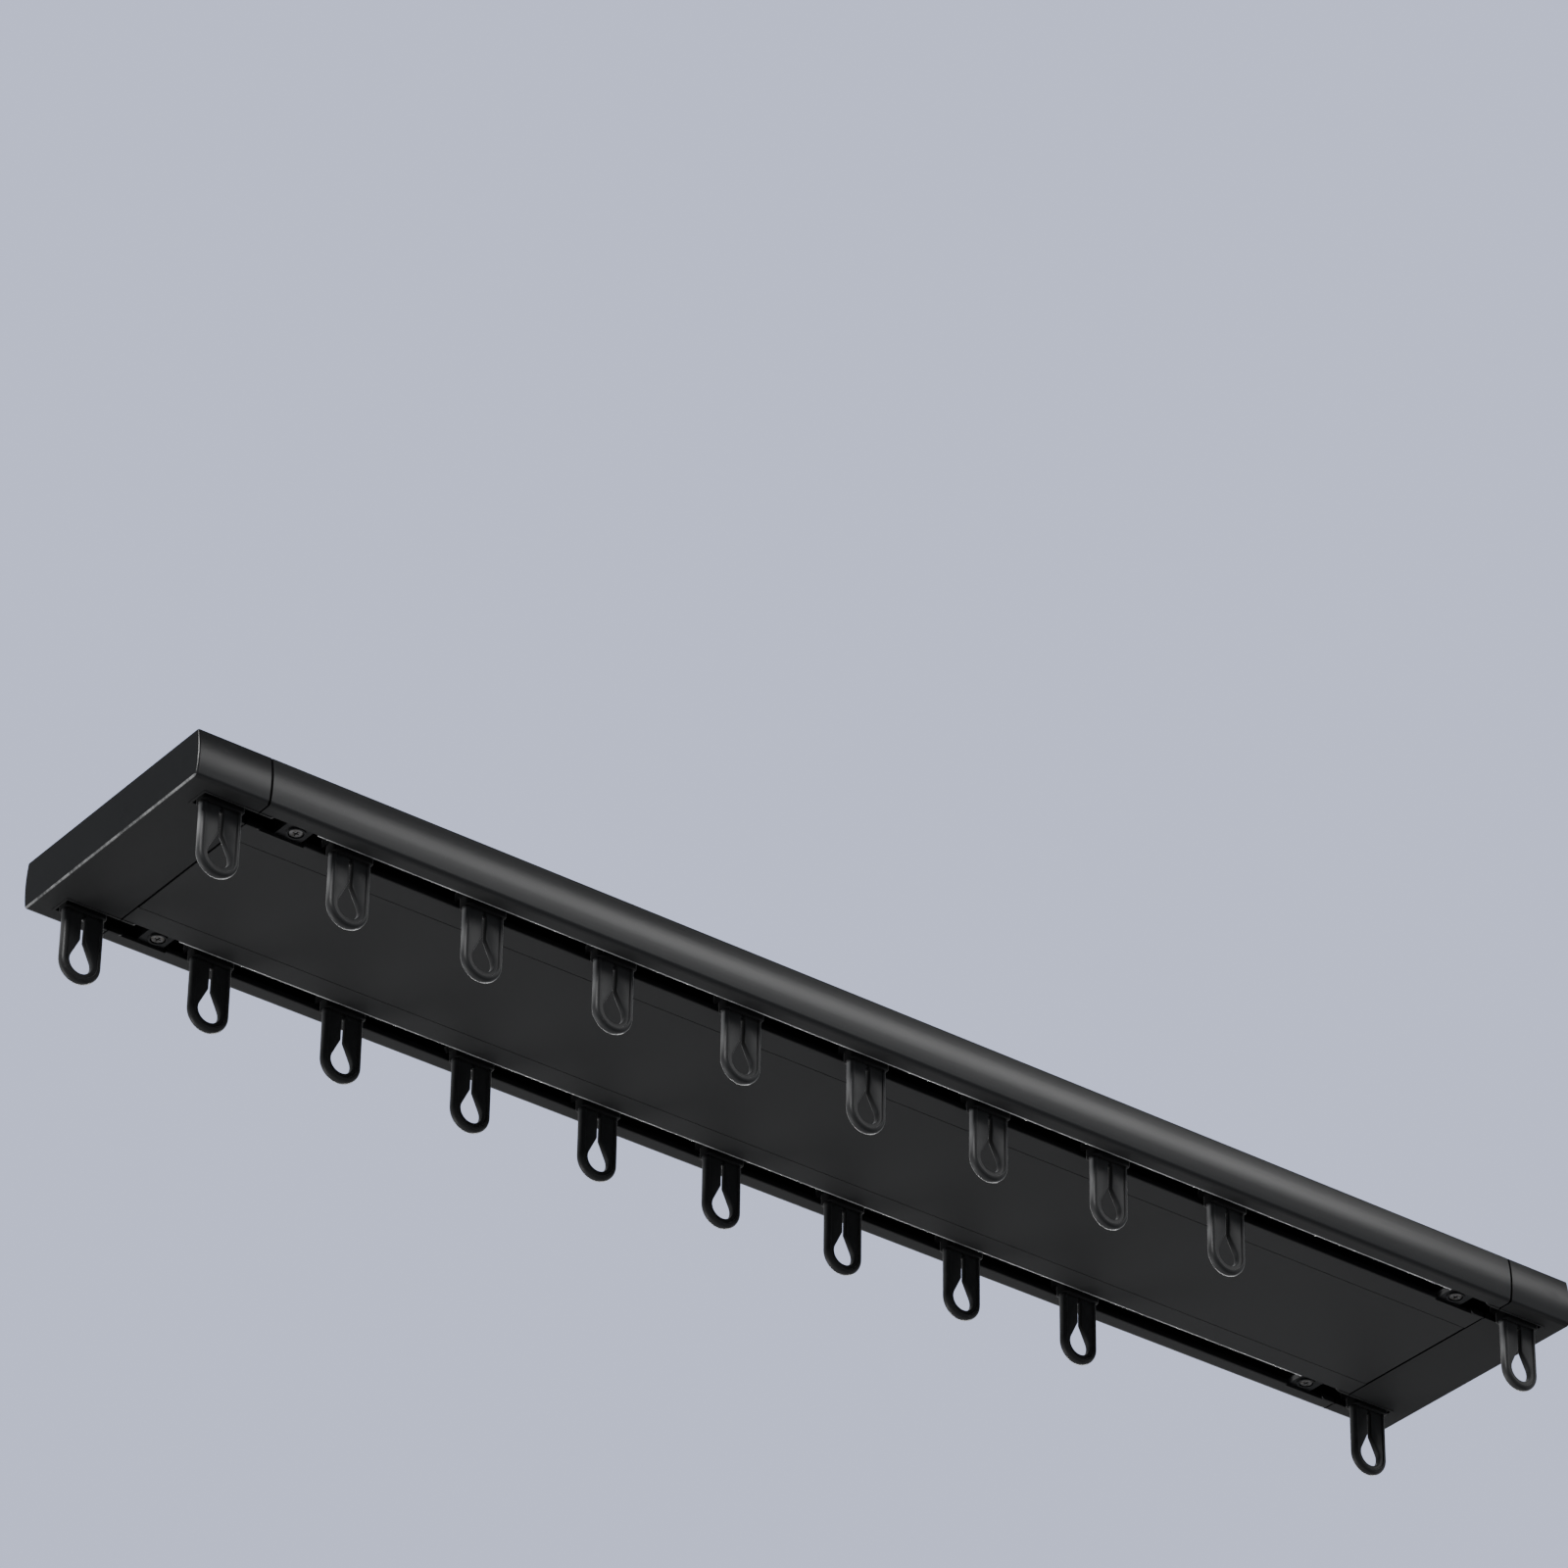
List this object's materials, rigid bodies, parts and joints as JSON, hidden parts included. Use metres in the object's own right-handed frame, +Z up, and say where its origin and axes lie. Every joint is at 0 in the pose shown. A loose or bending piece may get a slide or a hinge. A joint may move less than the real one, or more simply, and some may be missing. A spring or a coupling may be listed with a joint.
{
  "type": "curtain track",
  "caption": "Slim ceiling curtain track with two slotted channels, bulged sides, a snap-in cover, end caps with glider pockets and sliding hook gliders.",
  "frame": {"origin": "centre of the flat top face that lies against the ceiling", "axes": "+Z up into the ceiling, +X along the track, +Y across it from the near channel to the far channel"},
  "size_m": [0.5, 0.089, 0.0385],
  "materials": {
    "rail_aluminium": "satin black powder coat on aluminium",
    "cover_aluminium": "satin black powder coat on aluminium",
    "cap_plastic": "semi-gloss black moulded plastic",
    "glider_nylon": "smooth black nylon",
    "screw_steel": "bright plated steel"
  },
  "bodies": {
    "track": {"rail": "rail_aluminium", "cover_plate": "cover_aluminium", "end_cap_left": "cap_plastic", "end_cap_right": "cap_plastic", "near_left_screw": "screw_steel", "near_right_screw": "screw_steel", "far_left_screw": "screw_steel", "far_right_screw": "screw_steel"},
    "near_glider_01": {"near_glider_01": "glider_nylon"},
    "near_glider_02": {"near_glider_02": "glider_nylon"},
    "near_glider_03": {"near_glider_03": "glider_nylon"},
    "near_glider_04": {"near_glider_04": "glider_nylon"},
    "near_glider_05": {"near_glider_05": "glider_nylon"},
    "near_glider_06": {"near_glider_06": "glider_nylon"},
    "near_glider_07": {"near_glider_07": "glider_nylon"},
    "near_glider_08": {"near_glider_08": "glider_nylon"},
    "near_glider_09": {"near_glider_09": "glider_nylon"},
    "near_glider_10": {"near_glider_10": "glider_nylon"},
    "far_glider_01": {"far_glider_01": "glider_nylon"},
    "far_glider_02": {"far_glider_02": "glider_nylon"},
    "far_glider_03": {"far_glider_03": "glider_nylon"},
    "far_glider_04": {"far_glider_04": "glider_nylon"},
    "far_glider_05": {"far_glider_05": "glider_nylon"},
    "far_glider_06": {"far_glider_06": "glider_nylon"},
    "far_glider_07": {"far_glider_07": "glider_nylon"},
    "far_glider_08": {"far_glider_08": "glider_nylon"},
    "far_glider_09": {"far_glider_09": "glider_nylon"},
    "far_glider_10": {"far_glider_10": "glider_nylon"}
  },
  "joints": [
    {"name": "near_glider_01_slide", "type": "slide", "parent": "track", "child": "near_glider_01", "axis": [1, 0, 0], "range_m": [0, 0.013]},
    {"name": "near_glider_02_slide", "type": "slide", "parent": "track", "child": "near_glider_02", "axis": [1, 0, 0], "range_m": [-0.0058, 0.01547]},
    {"name": "near_glider_03_slide", "type": "slide", "parent": "track", "child": "near_glider_03", "axis": [1, 0, 0], "range_m": [-0.01547, 0.01547]},
    {"name": "near_glider_04_slide", "type": "slide", "parent": "track", "child": "near_glider_04", "axis": [1, 0, 0], "range_m": [-0.01547, 0.01547]},
    {"name": "near_glider_05_slide", "type": "slide", "parent": "track", "child": "near_glider_05", "axis": [1, 0, 0], "range_m": [-0.01547, 0.01547]},
    {"name": "near_glider_06_slide", "type": "slide", "parent": "track", "child": "near_glider_06", "axis": [1, 0, 0], "range_m": [-0.01547, 0.01547]},
    {"name": "near_glider_07_slide", "type": "slide", "parent": "track", "child": "near_glider_07", "axis": [1, 0, 0], "range_m": [-0.01547, 0.01547]},
    {"name": "near_glider_08_slide", "type": "slide", "parent": "track", "child": "near_glider_08", "axis": [1, 0, 0], "range_m": [-0.01547, 0.01547]},
    {"name": "near_glider_09_slide", "type": "slide", "parent": "track", "child": "near_glider_09", "axis": [1, 0, 0], "range_m": [-0.01547, 0.07905]},
    {"name": "near_glider_10_slide", "type": "slide", "parent": "track", "child": "near_glider_10", "axis": [1, 0, 0], "range_m": [-0.013, 0]},
    {"name": "far_glider_01_slide", "type": "slide", "parent": "track", "child": "far_glider_01", "axis": [1, 0, 0], "range_m": [0, 0.013]},
    {"name": "far_glider_02_slide", "type": "slide", "parent": "track", "child": "far_glider_02", "axis": [1, 0, 0], "range_m": [-0.0058, 0.01547]},
    {"name": "far_glider_03_slide", "type": "slide", "parent": "track", "child": "far_glider_03", "axis": [1, 0, 0], "range_m": [-0.01547, 0.01547]},
    {"name": "far_glider_04_slide", "type": "slide", "parent": "track", "child": "far_glider_04", "axis": [1, 0, 0], "range_m": [-0.01547, 0.01547]},
    {"name": "far_glider_05_slide", "type": "slide", "parent": "track", "child": "far_glider_05", "axis": [1, 0, 0], "range_m": [-0.01547, 0.01547]},
    {"name": "far_glider_06_slide", "type": "slide", "parent": "track", "child": "far_glider_06", "axis": [1, 0, 0], "range_m": [-0.01547, 0.01547]},
    {"name": "far_glider_07_slide", "type": "slide", "parent": "track", "child": "far_glider_07", "axis": [1, 0, 0], "range_m": [-0.01547, 0.01547]},
    {"name": "far_glider_08_slide", "type": "slide", "parent": "track", "child": "far_glider_08", "axis": [1, 0, 0], "range_m": [-0.01547, 0.01547]},
    {"name": "far_glider_09_slide", "type": "slide", "parent": "track", "child": "far_glider_09", "axis": [1, 0, 0], "range_m": [-0.01547, 0.07905]},
    {"name": "far_glider_10_slide", "type": "slide", "parent": "track", "child": "far_glider_10", "axis": [1, 0, 0], "range_m": [-0.013, 0]}
  ]
}
